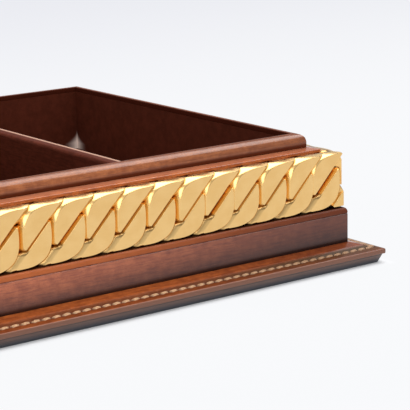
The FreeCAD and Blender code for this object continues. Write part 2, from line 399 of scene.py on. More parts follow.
def rim_shades(finish, colour):
    """Painted shade in the angle over the ledge, a lip as dark as the lining, and a darker flat top with less
    wax.
    """
    inset, height = inset_and_height(finish)
    colour = shade_towards_corners(finish, colour, rgb(98, 50, 26), 0.5)
    # Painted shade in the angle between the rim and the ledge, with less wax there too.
    low = 1 - step(finish, height, ledge_top + 0.9 * MM, ledge_top + 2.2 * MM)
    colour = mixed(finish, low * 0.95, colour, rgb(88, 34, 10))
    lip = step(finish, inset, inside_inset - 0.4 * MM, inside_inset - 0.1 * MM)
    # The flat top is darker and has less wax.
    high = step(finish, height, rim_top - 0.6 * MM, rim_top - 0.05 * MM)
    colour = mixed(finish, high * 0.75, colour, rgb(96, 48, 28))
    return mixed(finish, lip, colour, rgb(70, 28, 17)), (1 - high * 0.8) * (1 - low * 0.87) * (1 - lip)


rim_leather = leather("rim leather", rgb(146, 80, 42), rgb(184, 110, 62), rgb(108, 52, 26), 0.3,
                      rim_shades)
ledge_leather = leather("ledge leather", rgb(166, 88, 46), rgb(202, 116, 64), rgb(128, 58, 28), 0.32,
                        ledge_shades)
foot_leather = leather("foot leather", rgb(144, 72, 34), rgb(188, 100, 48), rgb(108, 46, 22), 0.3,
                       foot_shades)

# %% [markdown]
# ## Plinth and lining leather
#
# The plinth wears a darker calf, and the inside is lined with an even darker one without any wax. Both come
# from the same recipe with other colours. The plinth has painted shade in its crease and where it meets the
# foot and the chain, and a shoulder painted paler. Low in the corners of the lining a pale patch of painted
# light is added, and each divider has a painted highlight along one arris.


# %% Plinth leather
crease_height = plinth_top - 2.4 * MM


def plinth_shades(finish, colour):
    """A shoulder painted paler, as if lit from above, painted shade in the crease under it, and painted
    contact shadows where the board meets the foot and the chain.

    All of it goes by the height. Between the shoulder and the foot the colour deepens steadily downwards.
    """
    _, height = inset_and_height(finish)
    crease_shade = band(finish, height, crease_height, 0.05 * MM, 0.4 * MM)
    depth = 1 - step(finish, height, foot_top - 2 * MM, plinth_top - 2.6 * MM)
    # Painted light: the shoulder is made paler, as if lit from above.
    shoulder = step(finish, height, crease_height, crease_height + 0.4 * MM)
    colour = mixed(finish, shoulder * 0.75, colour, rgb(178, 96, 50))
    colour = mixed(finish, crease_shade * 0.5, colour, rgb(70, 34, 24))
    colour = shade_towards_corners(finish, colour, rgb(62, 28, 26), 0.78, reach=160 * MM)
    colour = mixed(finish, depth * 0.9, colour, rgb(40, 14, 10))
    # Painted contact shadows under the chain and where the board meets the foot, with less wax there.
    chain_contact_shadow = step(finish, height, plinth_top - 0.34 * MM, plinth_top - 0.14 * MM)
    foot_contact_shadow = 1 - step(finish, height, foot_top, foot_top + 2.4 * MM)
    colour = mixed(finish, foot_contact_shadow * 0.75 + chain_contact_shadow * 0.9, colour, rgb(16, 5, 3))
    return colour, (0.9 - foot_contact_shadow * 0.7) * (1 - shoulder * 0.8) * (1 - chain_contact_shadow)


plinth_leather = leather("plinth leather", rgb(168, 90, 60), rgb(206, 118, 78), rgb(122, 62, 52), 0.3,
                         plinth_shades)

# %% Lining leather
floor_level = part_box("floor_pad_1")[1].z
patch_size, patch_over_floor = 5.5 * MM, 3 * MM


def lining_shades(finish, colour):
    """Painted light: a pale patch low in the four corners of the walls, and a painted highlight along the
    arris that the mesh marks.

    The patch ends where the root of the distance to the corner plus the height over the patch, both in
    patch sizes, reaches 1.15. So it is wide at its foot and runs up the corner to a point.
    """
    x, y, z = coordinates(finish)
    beside = larger(half_length - inside_inset - abs(x), half_width - inside_inset - abs(y))
    above = z - (floor_level + patch_over_floor)
    away = (beside * (1 / patch_size)) ** 0.5 + larger(above, 0) * (1 / patch_size)
    # Painted light: a pale patch low in each inner corner.
    corner_highlight = (1 - step(finish, away, 0.3, 1.15)) * step(finish, above, -2.95 * MM, -2.5 * MM)
    # Painted highlight on the arris that the mesh marks.
    colour = mixed(finish, mark(finish, "arris_highlight") * 0.8, colour, rgb(206, 164, 142))
    return mixed(finish, corner_highlight, colour, rgb(250, 232, 220)), 0.0


lining_leather = leather("lining leather", rgb(80, 37, 25), rgb(96, 45, 31), rgb(62, 28, 19), 0.5,
                         lining_shades)

# %% [markdown]
# ## Gilding
#
# The links are brass with a thick coat of gold. Their flat faces were ground on a belt, which leaves fine
# lines along the chain and scatters the light into a satin tone, while the rounded flanks between the faces
# kept their polish. A number on the mesh, ground, says which is which, and steers the roughness. Another,
# deep, rises in the folds, in nearly closed slots and far behind the face, and there the gold is painted
# dark as shade.


# %% Gilding
belt_marks, gold_clouds, dent_size = (6 * MM, 0.09 * MM, 1), 5 * MM, 2.5 * MM


def gilding():
    """Polished gold turned into satin gold by ground, then darkened by deep as painted shade; ground adds
    roughness.
    """
    finish = Finish("gilding")
    place, ground = object_position(finish), mark(finish, "ground")
    belt = noise(finish, flat_position(finish), belt_marks, detail=3, roughness=0.6)
    clouds = noise(finish, place, gold_clouds, detail=3)
    tone = step(finish, belt, 0.3, 0.7) * 0.5 + step(finish, clouds, 0.3, 0.7) * 0.5
    satin = mixed(finish, tone, rgb(242, 197, 126), rgb(252, 211, 143))
    polished = mixed(finish, clouds, rgb(240, 194, 122), rgb(248, 206, 138))
    colour = mixed(finish, ground, polished, satin)
    # Painted shade: the gold is darkened where the mesh marks it deep.
    colour = mixed(finish, mark(finish, "deep") * 0.85, colour, rgb(72, 36, 12))
    roughness = 0.24 + ground * (0.16 + (belt - 0.5) * 0.15)
    lines = bumped(finish, belt * ground, 0.012 * MM)
    dents = bumped(finish, noise(finish, place, dent_size, detail=2), 0.03 * MM, lines)
    return finish.surface({"Metallic": 1.0},
                          {"Base Color": colour, "Roughness": roughness, "Normal": dents})


gilt = gilding()

# %% [markdown]
# ## Thread, suede, wood and steel
#
# The seam is waxed linen thread of two strands, whose twist shows as slanting lines along each stitch. The
# rest is seldom seen: suede under the foot, birch plywood under the floor, brass pins and steel screws. The
# foot's bevel wears thin dark leather whose marks run along it, because it was drawn tight round the board.


# %% Finish of the thread
strand_width = 0.5 * MM


def twisted_thread():
    """Slanting bands, pale on the strands and brown between them, with painted shade where the thread dives.
    """
    finish = Finish("linen thread")
    place = scaled(finish, flat_position(finish), (1 / strand_width, 1 / strand_width, 1))
    strands = finish.node("ShaderNodeTexWave", {"wave_type": "BANDS", "bands_direction": "DIAGONAL"},
                          {"Vector": place, "Scale": 0.5, "Distortion": 0.4}, "Fac")
    colour = mixed(finish, step(finish, strands, 0.1, 0.6), rgb(172, 124, 86), rgb(240, 198, 154))
    colour = shade_towards_corners(finish, colour, rgb(120, 84, 58), 0.6)
    # Painted shade at the ends of each stitch, where it dives into the leather.
    dive_shade_share = mark(finish, "dive_shade") * (0.9 - near_corner(finish, 100 * MM) * 0.6)
    colour = mixed(finish, dive_shade_share, colour, rgb(74, 38, 22))
    return finish.surface({"Roughness": 0.6},
                          {"Base Color": colour, "Normal": bumped(finish, strands, 0.08 * MM)})


thread = twisted_thread()

# %% Bevel leather
bevel_marks = (9 * MM, 9 * MM, 0.7 * MM)


def board_edge():
    """Grey at the bottom of the bevel, painted as a reflection of the floor, brown higher up, nearly black
    where it turns in.
    """
    finish = Finish("bevel leather")
    _, height = inset_and_height(finish)
    marks = noise(finish, object_position(finish), bevel_marks, detail=4, roughness=0.6)
    # Painted reflection: the bottom of the bevel is grey, as if it mirrored the floor.
    colour = mixed(finish, step(finish, height, 0.2 * MM, 3.4 * MM), rgb(56, 61, 70), rgb(112, 80, 66))
    colour = mixed(finish, step(finish, marks, 0.4, 0.8) * 0.5, colour, rgb(48, 38, 36))
    turned_in = step(finish, height, foot_low.z - 0.6 * MM, foot_low.z - 0.2 * MM)
    colour = mixed(finish, turned_in * 0.8, colour, rgb(24, 16, 14))
    return finish.surface({"Coat Weight": 0.2, "Coat Roughness": 0.3},
                          {"Base Color": colour, "Roughness": 0.38 + (marks - 0.5) * 0.2,
                           "Normal": bumped(finish, marks, 0.05 * MM)})


bevel_leather = board_edge()

# %% Plain finishes
along_the_grain = (30 * MM, 1.2 * MM, 1.2 * MM)


def plain(name, dark, light, size, roughness, depth, metallic=0.0):
    """Two colours mixed by one noise; size is a number, or one per axis where the marks have a grain."""
    finish = Finish(name)
    marks = noise(finish, object_position(finish), size, detail=4, roughness=0.6)
    colour = mixed(finish, step(finish, marks, 0.3, 0.7), dark, light)
    return finish.surface({"Metallic": metallic},
                          {"Base Color": colour, "Roughness": roughness + (marks - 0.5) * 0.2,
                           "Normal": bumped(finish, marks, depth)})


suede = plain("foot suede", rgb(50, 34, 26), rgb(74, 52, 40), 0.35 * MM, 0.9, 0.08 * MM)
plywood = plain("birch plywood", rgb(176, 140, 98), rgb(214, 184, 142), along_the_grain, 0.6, 0.05 * MM)
brass = plain("pin brass", rgb(186, 150, 84), rgb(216, 180, 106), 0.6 * MM, 0.35, 0.01 * MM, metallic=1.0)
steel = plain("screw steel", rgb(150, 152, 156), rgb(190, 192, 196), 0.5 * MM, 0.35, 0.01 * MM, metallic=1.0)

# %% [markdown]
# ## One way to make every mesh
#
# A moulding, a link, a stitch and a padded board are built alike: rings of points, one behind the other,
# joined by quads and closed at both ends. So all shapes are worked out as one array of points with the axes
# copy, ring, point on the ring, and xyz, and a single function turns such an array into a mesh. The flat
# map has one column more than the mesh, because a ring's last point is also its first.


# %% Rings to mesh
def ring_faces(copies, rings, around):
    """Corners of every quad and end cap, as point numbers and as numbers in the flat map.

    Point j of ring i has the number i times the width plus j. The width is around on the mesh, where the
    last point is followed by the first, and around + 1 in the flat map, where it is followed by its copy.
    """
    first = np.arange(copies)[:, None, None] * rings
    ring, point = first + np.arange(rings - 1)[None, :, None], np.arange(around)[None, None, :]
    first, last, across = first[:, 0], first[:, 0] + rings - 1, np.arange(around)[None]
    numbers = []
    for width, following in ((around, (point + 1) % around), (around + 1, point + 1)):
        corners = (ring * width + point, (ring + 1) * width + point,
                   (ring + 1) * width + following, ring * width + following)
        quads = np.stack(np.broadcast_arrays(*corners), -1).reshape(-1, 4)
        numbers += [quads, np.concatenate([first * width + across, last * width + across[:, ::-1]])]
    return numbers


def volume(points, quads):
    """Sum over the quads of corner . (diagonal x diagonal) / 6, which is positive if they face outwards."""
    a, b, c, d = (points[quads[:, i]] for i in range(4))
    return (a * np.cross(c - a, d - b)).sum() / 6


def ring_mesh(name, points, flat, attributes=None):
    """A mesh from points (copies, rings, around, 3) and its flat map (copies, rings, around + 1, 2)."""
    copies, rings, around = points.shape[:3]
    quads, caps, mapped, mapped_caps = ring_faces(copies, rings, around)
    places, flat = points.reshape(-1, 3), flat.reshape(-1, 2)
    if volume(places - places[0], quads) < 0:
        quads, caps, mapped, mapped_caps = (a[:, ::-1] for a in (quads, caps, mapped, mapped_caps))
    corners = np.concatenate([quads.ravel(), caps.ravel()])
    sizes = np.concatenate([np.full(len(quads), 4), np.full(len(caps), around)])
    mesh = bpy.data.meshes.new(name)
    mesh.vertices.add(len(places))
    mesh.vertices.foreach_set("co", places.ravel())
    mesh.loops.add(len(corners))
    mesh.loops.foreach_set("vertex_index", corners)
    mesh.polygons.add(len(sizes))
    mesh.polygons.foreach_set("loop_start", np.cumsum(sizes) - sizes)
    mesh.polygons.foreach_set("loop_total", sizes)
    mesh.polygons.foreach_set("use_smooth", np.ones(len(sizes), bool))
    mesh.update(calc_edges=True)
    layer = mesh.uv_layers.new(name="flat")
    layer.data.foreach_set("uv", flat[np.concatenate([mapped.ravel(), mapped_caps.ravel()])].ravel())
    for attribute, numbers in (attributes or {}).items():
        mesh.attributes.new(attribute, "FLOAT", "POINT").data.foreach_set("value", numbers.ravel())
    return mesh


# %% Pieces of the tray
crisp_angle = math.radians(40)


def turned(mesh, side):
    """Turns a mesh that was built along the front to its own side of the tray."""
    mesh.transform(Matrix.Rotation(math.radians(SIDES[side]), 4, "Z"))
    return mesh


def add_piece(name, mesh, material, replaces=()):
    """Puts a finished mesh into the scene as a piece that rides on the tray."""
    mesh.set_sharp_from_angle(angle=crisp_angle)
    mesh.materials.append(material)
    piece = bpy.data.objects.new(name, mesh)
    bpy.context.scene.collection.objects.link(piece)
    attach(piece, "root")
    if replaces:
        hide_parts(*replaces)
    print(f"{name}: {sum(len(face.vertices) - 2 for face in mesh.polygons)} triangles")
    return piece


# %% [markdown]
# ## Profiles and how they run
#
# Leather folded over a board has no sharp corner: each one is an arc that touches both faces. So a profile
# is written as its sharp corners with a radius at each, and the arcs of all of them are worked out at once.
# The profile is then carried along its side. Near a mitre it turns by 45 degrees round an upright axis,
# which gives the tray's corners the same soft look in plan.


# %% Profiles
def rounded_outline(corners, steps):
    """Closed outline through corners (x, y, radius), with an arc in place of each corner.

    The arc's centre is on the bisector at radius / sin(half the angle). Its points are the two radii that
    end on the edges, mixed by sin((1 - t) turn) and sin(t turn) over sin(turn), which keeps their length.
    A corner of radius 0 stays one point.
    """
    corners = np.asarray(corners, float)
    points, radius = corners[:, :2], corners[:, 2]
    back, on = np.roll(points, 1, 0) - points, np.roll(points, -1, 0) - points
    back, on = (v / np.linalg.norm(v, axis=1)[:, None] for v in (back, on))
    half = np.arccos(np.clip((back * on).sum(1), -1, 1)) / 2
    middle = (back + on) / np.linalg.norm(back + on, axis=1)[:, None]
    centre = points + middle * (radius / np.sin(half))[:, None]
    tangent = (radius / np.tan(half))[:, None]
    share, turn = np.linspace(0, 1, steps + 1)[None], (np.pi - 2 * half)[:, None]
    start_weight = (np.sin((1 - share) * turn) / np.sin(turn))[..., None]
    end_weight = (np.sin(share * turn) / np.sin(turn))[..., None]
    start, end = points + back * tangent - centre, points + on * tangent - centre
    arcs = centre[:, None] + start_weight * start[:, None] + end_weight * end[:, None]
    kept = (radius[:, None] > 0) | (np.arange(steps + 1)[None] == 0)
    return arcs[kept]


def divided(outline, longest):
    """The same closed outline with every stretch cut so that no step is longer than longest."""
    ahead = np.roll(outline, -1, 0) - outline
    pieces = np.maximum(np.ceil(np.linalg.norm(ahead, axis=1) / longest), 1).astype(int)
    number = np.repeat(np.arange(len(outline)), pieces)
    share = (np.arange(pieces.sum()) - np.repeat(np.cumsum(pieces) - pieces, pieces)) / pieces[number]
    return outline[number] + ahead[number] * share[:, None]


def running_length(outline):
    """Length along a closed outline at each point, with the whole length added at the end."""
    steps = np.linalg.norm(np.roll(outline, -1, 0) - outline, axis=1)
    return np.concatenate([[0], np.cumsum(steps)])


def run_along(outline, side, corner_radius, longest, turn_steps=5):
    """Points of a profile (inset, height) carried along the front of the given side's length.

    Each profile point has its own path: straight, with a quarter turn shared by two sides at each corner.
    Paths have one centre of turning, corner_radius inside the outermost point, and points further inside
    than that meet on the sharp mitre.
    """
    half_run, half_depth = halves(side)
    inset, height = outline.T
    centre = np.maximum(inset, inset.min() + corner_radius)
    turn = np.linspace(0, np.pi / 4, turn_steps + 1)
    between = np.linspace(-1, 1, max(int(2 * half_run / longest), 2) + 1)[1:-1]
    angle = np.concatenate([-turn[::-1], 0 * between, turn])[:, None]
    share = np.concatenate([0 * turn - 1, between, 0 * turn + 1])[:, None]
    x = share * (half_run - centre) + np.sin(angle) * (centre - inset)
    y = centre - half_depth - np.cos(angle) * (centre - inset)
    points = np.stack(np.broadcast_arrays(x, y, height[None]), -1)
    along = share * (half_run - inset.min() - corner_radius) + angle * corner_radius
    flat = np.stack(np.broadcast_arrays(along, running_length(outline)[None]), -1)
    return points[None], flat[None]


# %% [markdown]
# ## Foot
#
# The foot's leather is a strip two millimetres thick. Its edge is burnished round, and a seam runs along it
# in a groove. The thread is pulled tight, so the leather falls from a soft arris into the groove and dips a
# little at every stitch hole. That dip is real geometry here: it repeats with the stitches, and it is what
# makes a seam look sewn and not drawn.

# %% Foot leather
leather_thickness = 2.0 * MM
stitch_inset, stitch_pitch_wanted = 3.5 * MM, 3.9 * MM
groove_half_width, groove_depth, arris_inset = 0.65 * MM, 0.5 * MM, 6.2 * MM
hole_dip, hole_length, hole_reach = 0.22 * MM, 0.6 * MM, 0.8 * MM
foot_edge_bottom = foot_low.z
foot_edge_top = foot_edge_bottom + leather_thickness
tuck = section("foot_leather_front")[1]


def foot_surface(inset):
    """Height of the foot's straight slope, before the seam draws it down."""
    return foot_edge_top + (foot_top - foot_edge_top) * np.minimum(inset / plinth_inset, 1)


def foot_profile():
    """The strip in section: round its edge, up to the groove, through it, up the slope and back below."""
    near, far = stitch_inset - groove_half_width, stitch_inset + groove_half_width
    corners = [
        (0, foot_edge_bottom, 0.5 * MM),
        (0, foot_edge_top, 0.7 * MM),
        (near, foot_surface(near), 0.35 * MM),
        (near + 0.2 * MM, foot_surface(near) - groove_depth, 0.2 * MM),
        (far, foot_surface(far) - groove_depth, 0.3 * MM),
        (arris_inset, foot_surface(arris_inset), 0.7 * MM),
        (plinth_inset, foot_top, 0.1 * MM),
        (tuck, foot_top, 0.1 * MM),
        (tuck, foot_top - leather_thickness, 0.1 * MM),
        (plinth_inset, foot_top - leather_thickness, 0.1 * MM),
    ]
    return divided(rounded_outline(corners, 5), 0.8 * MM)


def stitch_places(side):
    """Middles of the stitches along one side, evenly spaced between the corners of the seam."""
    seam = 2 * (halves(side)[0] - stitch_inset)
    count = round(seam / stitch_pitch_wanted)
    return (np.arange(count) + 0.5) * seam / count - seam / 2, seam / count


def dip_at_holes(points, side):
    """How far the thread draws the leather down: exp(-(along / length)^2 - (across / reach)^2) of the dip.

    Along is the distance to the nearest hole, half a pitch from the middles of the stitches. What lies
    below the upper face of the strip stays where it is.
    """
    places, pitch = stitch_places(side)
    along = np.abs((points[..., 0] - places[0]) / pitch % 1 - 0.5) * pitch
    across = points[..., 1] + halves(side)[1] - stitch_inset
    upper = points[..., 2] > foot_edge_top - 0.3 * MM
    dip = np.exp(-(along / hole_length) ** 2 - (across / hole_reach) ** 2) * hole_dip
    return np.where(upper, dip, 0)


tray_corner = 0.6 * MM
for side in SIDES:
    points, flat = run_along(foot_profile(), side, tray_corner, stitch_places(side)[1] / 6)
    points[..., 2] -= dip_at_holes(points, side)
    mesh = turned(ring_mesh(f"stitched_foot_{side}", points, flat), side)
    add_piece(f"stitched_foot_{side}", mesh, foot_leather, [f"foot_leather_{side}"])

# %% [markdown]
# ## Saddle stitches
#
# Each stitch leaves one hole, lies slanting over the leather and dives into the next. As a shape it is a
# short flattened tube whose axis is a low arch and which closes at both ends. There are some 250 of them,
# so each one has few faces and the thread's twist is left to the finish.

# %% Stitches
stitch_half_width, stitch_half_height, stitch_slant = 0.95 * MM, 0.55 * MM, math.radians(20)
stitch_share, stitch_lift = 1.04, 0.1 * MM
stitch_rings, stitch_around, last_ring, dive_power = 9, 8, 0.98, 2.5


def stitches(side):
    """Tubes round arches: along t from -1 to 1 the height is 1 - t^4 and the radius (1 - t^4)^0.5.

    The last rings lie just before the ends, so that they aren't points. The number for the finish that
    paints shade where the thread dives is |t| to a power, which keeps the middle of the stitch pale.
    """
    places, pitch = stitch_places(side)
    t = np.linspace(-1, 1, stitch_rings) * last_ring
    reach = pitch * stitch_share / 2
    arch = 1 - t ** 4
    axis_x = places[:, None] + t[None] * reach * math.cos(stitch_slant)
    axis_inset = stitch_inset + t * reach * math.sin(stitch_slant)
    axis_z = foot_surface(stitch_inset) - groove_depth + arch * stitch_lift
    turn = np.linspace(0, 2 * np.pi, stitch_around + 1)[:-1]
    thickness = np.sqrt(arch)[:, None]
    sideways = stitch_half_width * thickness * np.cos(turn)
    upwards = stitch_half_height * thickness * np.sin(turn)
    x = axis_x[..., None] - sideways[None] * math.sin(stitch_slant)
    y = (axis_inset - halves(side)[1])[None, :, None] + sideways[None] * math.cos(stitch_slant)
    z = axis_z[None, :, None] + upwards[None]
    points = np.stack(np.broadcast_arrays(x, y, z), -1)
    around = stitch_half_width * np.append(turn, 2 * np.pi)
    flat = np.stack(np.broadcast_arrays(axis_x[..., None], around), -1)
    dive_shade = np.broadcast_to(np.abs(t)[None, :, None] ** dive_power, points.shape[:3])
    return points, flat, {"dive_shade": dive_shade}


for side in SIDES:
    mesh = turned(ring_mesh(f"seam_thread_{side}", *stitches(side)), side)
    add_piece(f"seam_thread_{side}", mesh, thread)

# %% [markdown]
# ## Plinth, ledge and rim
#
# Three boards covered in leather. The plinth has a ruled crease under a rounded shoulder, the ledge is a
# thin strip with a soft arris, and the rim is a quarter round with a small flat on top. They differ only in
# their corners and radii, so they are lists of corners given to the same function.

# %% Plinth, ledge and rim
shoulder = 1.998 * MM
crease_half_width, crease_depth = 0.25 * MM, 0.25 * MM
ledge_edge, ledge_corner = 1.0 * MM, 0.3 * MM
rim_round = 3.4 * MM
lip_bottom = section("wall_lining_front")[3]
sharp = 0.08 * MM

plinth_corners = [
    (plinth_inset, foot_top, sharp),
    (plinth_inset, crease_height - crease_half_width, 0.15 * MM),
    (plinth_inset + crease_depth, crease_height, 0.06 * MM),
    (plinth_inset, crease_height + crease_half_width, 0.1 * MM),
    (plinth_inset, plinth_top, shoulder),
    (frieze_inset, plinth_top, sharp),
    (frieze_inset, foot_top, sharp),
]
ledge_corners = [
    (ledge_inset, ledge_bottom - 0.1 * MM, 0.15 * MM),
    (ledge_inset, ledge_bottom + ledge_edge, 0.3 * MM),
    (rim_inset, ledge_top, sharp),
    (wall_inner_inset, ledge_top, sharp),
    (wall_inner_inset, ledge_bottom, sharp),
]
rim_corners = [
    (rim_inset, ledge_top, 0.3 * MM),
    (rim_inset, rim_top, rim_round),
    (inside_inset, rim_top, 0.45 * MM),
    (inside_inset, lip_bottom, 0.2 * MM),
    (wall_inner_inset, lip_bottom, sharp),
    (wall_inner_inset, ledge_top, sharp),
]
mouldings = {
    "plinth": (plinth_corners, tray_corner, plinth_leather, "plinth_leather"),
    "ledge": (ledge_corners, ledge_corner, ledge_leather, "leather"),
    "rim": (rim_corners, tray_corner, rim_leather, "leather"),
}
for node, (corners, radius, material, slot) in mouldings.items():
    profile = divided(rounded_outline(corners, 10), 1.5 * MM)
    for side in SIDES:
        points, flat = run_along(profile, side, radius, 5 * MM, turn_steps=6)
        mesh = turned(ring_mesh(f"covered_{node}_{side}", points, flat), side)
        add_piece(f"covered_{node}_{side}", mesh, material, [f"{node}_{side}"])

# %% [markdown]
# ## Curb chain
#
# This is the piece that takes the most skill. A curb link starts as an oval ring of thick wire, twisted so
# that the links lie flat, and then ground flat back and front. Grinding leaves two leaves on each face, one
# on either side of a slanting slot, and in that slot lie the limbs of the two neighbours. On the back the
# slot slants the other way.
#
# One leaf is enough: the other leaf of the face is much the same one turned upside down, and the back of
# the link is its front turned round. The leaf is an outline, the part of the oval beyond the slot, taken
# back in depth ring by ring: a rounded arris, then flanks that bend away like part of an oval. Along the
# outer arc the flank swells only a little. At one end of the slot the limb dives behind the next link, so
# there it leaves the face gently and reaches far out, which closes the chain to a solid band of gold. The
# upper limb is round and catches the light, and the lower one was ground nearly as flat as the face.

# %% Sizes of a leaf
slot_angle, slot_width = math.radians(46), 1.0 * MM
link_pitch_wanted = 12.5 * MM
face_shrink, squareness = np.array([0.7, 0.3]) * MM, 2.6
flank_swell, middle_squareness, slot_swell = np.array([1.2, 0.45]) * MM, 4.0, 0.75 * MM
UPPER_LIMB = {"reach": np.array([3.2, 0.4]) * MM, "start": 0.5 * MM, "rise": 4.0 * MM, "flatness": 0.0}
LOWER_LIMB = {"reach": np.array([4.0, 0.6]) * MM, "start": 1.6 * MM, "rise": 0.7 * MM, "flatness": 0.4}
NO_LIMB = {"reach": np.zeros(2), "start": math.inf, "rise": 1.0, "flatness": 0.0}
arris_radius, slot_arris, limb_arris, tip_radius = 0.2 * MM, 0.12 * MM, 0.5 * MM, 0.45 * MM
flank_start, flank_end = math.radians(25), math.radians(76)
chain_half_depth = (chain_back - chain_inset) / 2
chain_axis = (chain_bottom + chain_top) / 2 + 0.15 * MM
slot_direction = np.array([math.cos(slot_angle), math.sin(slot_angle)])
slot_normal = np.array([-math.sin(slot_angle), math.cos(slot_angle)])
print(f"links {(chain_top - chain_bottom) / MM:.1f} mm high and {2 * chain_half_depth / MM:.1f} mm deep")

# %% Outline of a leaf
arc_points, slot_step = 26, 0.7 * MM


def leaf_axes(pitch):
    """Half the width and half the height of the oval that the ground face of a link has."""
    return np.array([pitch, (chain_top - chain_bottom) / 2]) - face_shrink


def leaf_outline(pitch):
    """The oval's arc beyond the slot and the straight edge along it, with both tips rounded.

    The oval is a little squarer than an ellipse: |x / a|^k + |z / b|^k = 1 with k = 2.6, traced by
    x = a cos^(2/k) and z = b sin^(2/k). It starts opposite the leaf, so the leaf's arc is in one stretch,
    and where it crosses the slot's edge is found by going along the straight step that crosses it.
    """
    edge = pitch / 2 * math.sin(slot_angle) + slot_width / 2
    turn = slot_angle - np.pi / 2 + np.linspace(0, 2 * np.pi, 721)
    circle = np.stack([np.cos(turn), np.sin(turn)], -1)
    oval = leaf_axes(pitch) * np.sign(circle) * np.abs(circle) ** (2 / squareness)
    beyond = oval @ slot_normal - edge
    inside = np.flatnonzero(beyond > 0)
    ends = []
    for last_out, first_in in ((inside[0] - 1, inside[0]), (inside[-1] + 1, inside[-1])):
        share = beyond[last_out] / (beyond[last_out] - beyond[first_in])
        ends.append(oval[last_out] + (oval[first_in] - oval[last_out]) * share)
    arc = np.concatenate([ends[:1], oval[inside], ends[1:]])
    length = np.concatenate([[0], np.cumsum(np.linalg.norm(np.diff(arc, axis=0), axis=1))])
    share = np.concatenate([[0], np.linspace(0.05, 0.95, arc_points), [1]])
    arc = np.stack([np.interp(share * length[-1], length, column) for column in arc.T], -1)
    radius = np.zeros(len(arc))
    radius[[0, -1]] = tip_radius
    return divided(rounded_outline(np.column_stack([arc, radius]), 4), slot_step)


print("points round a leaf:", len(leaf_outline(link_pitch_wanted)))

# %% Flanks and limbs of a leaf
def smooth(value):
    """Rises from 0 to 1 as value does, with level ends: t^2 (3 - 2 t)."""
    value = np.clip(value, 0, 1)
    return value * value * (3 - 2 * value)


def leaf_sides(outline):
    """The outward direction at each point, and 1 where it looks at the slot.

    Outwards is the direction ahead, from the point before to the point after, turned to the right. The
    second number is 0 up to a cosine of 0.45 between outwards and the way to the slot, and 1 from 0.95.
    """
    ahead = np.roll(outline, -1, 0) - np.roll(outline, 1, 0)
    outward = np.stack([ahead[:, 1], -ahead[:, 0]], -1) / np.linalg.norm(ahead, axis=1)[:, None]
    return outward, smooth(-outward @ slot_normal * 2 - 0.9)[:, None]


def limb_share(outline, outward, start, rise):
    """1 on the limb, which starts so far from the middle of the slot and grows over the length rise.

    It keeps to the slot's side of the leaf: the share fades as outwards turns away from the slot.
    """
    slot_side = smooth((0.5 - outward @ slot_normal) * 1.2)[:, None]
    return smooth((outline @ slot_direction - start) / rise)[:, None] * slot_side


def leaf_growth(outline, outward, faces_slot, limb, reach, pitch):
    """How far each point has moved out where the flank is deepest, in the middle of the chain.

    There the oval is larger and squarer, so the links almost touch along the top and the bottom. A point
    goes outwards from the middle of the link by the ratio of the two ovals, and the slot's edge goes
    straight into the slot. The limb's reach comes on top.
    """
    face, middle = leaf_axes(pitch), leaf_axes(pitch) + flank_swell
    wider = (np.abs(outline / face) ** squareness).sum(1) ** (1 / squareness)
    wider = wider / (np.abs(outline / middle) ** middle_squareness).sum(1) ** (1 / middle_squareness) - 1
    return outline * wider[:, None] * (1 - faces_slot) + outward * slot_swell * faces_slot + limb * reach


# %% Rings of a leaf
arris_rings, flank_rings, face_ring = 5, 6, 0.85
ground_over_arris = [1, 1, 0.9, 0.6, 0.2]


def leaf_marks(along, sunk, faces_slot, limb, rise, flatness):
    """Three numbers at each point (ring, point) for the finish: ground, deep, and in the slot.

    Ground fades over the arris, and a flat limb keeps some of it. Deep, which the finish turns into painted
    shade, rises over the last quarter of the depth, over a flat limb just behind the face, and in the fold
    along the slot where that limb starts.
    """
    ground = np.concatenate([ground_over_arris, np.zeros(len(sunk) - len(ground_over_arris))])[:, None]
    fold = smooth(along / (0.4 * MM) + 2) * (1 - smooth((along - rise) / (0.9 * MM) - 0.3)) * faces_slot
    flat_limb = limb * (flatness > 0)
    deep = np.maximum(smooth((sunk - 0.75) / 0.25), flat_limb * smooth((sunk - 0.04) / 0.12) * 0.5)
    deep = np.maximum(deep, (ground < 0.95) * fold * (flatness > 0) * 0.75)
    in_slot = (1 - ground) * (faces_slot * (1 - limb))
    return np.stack([np.maximum(ground, flatness * limb), deep, in_slot], -1)


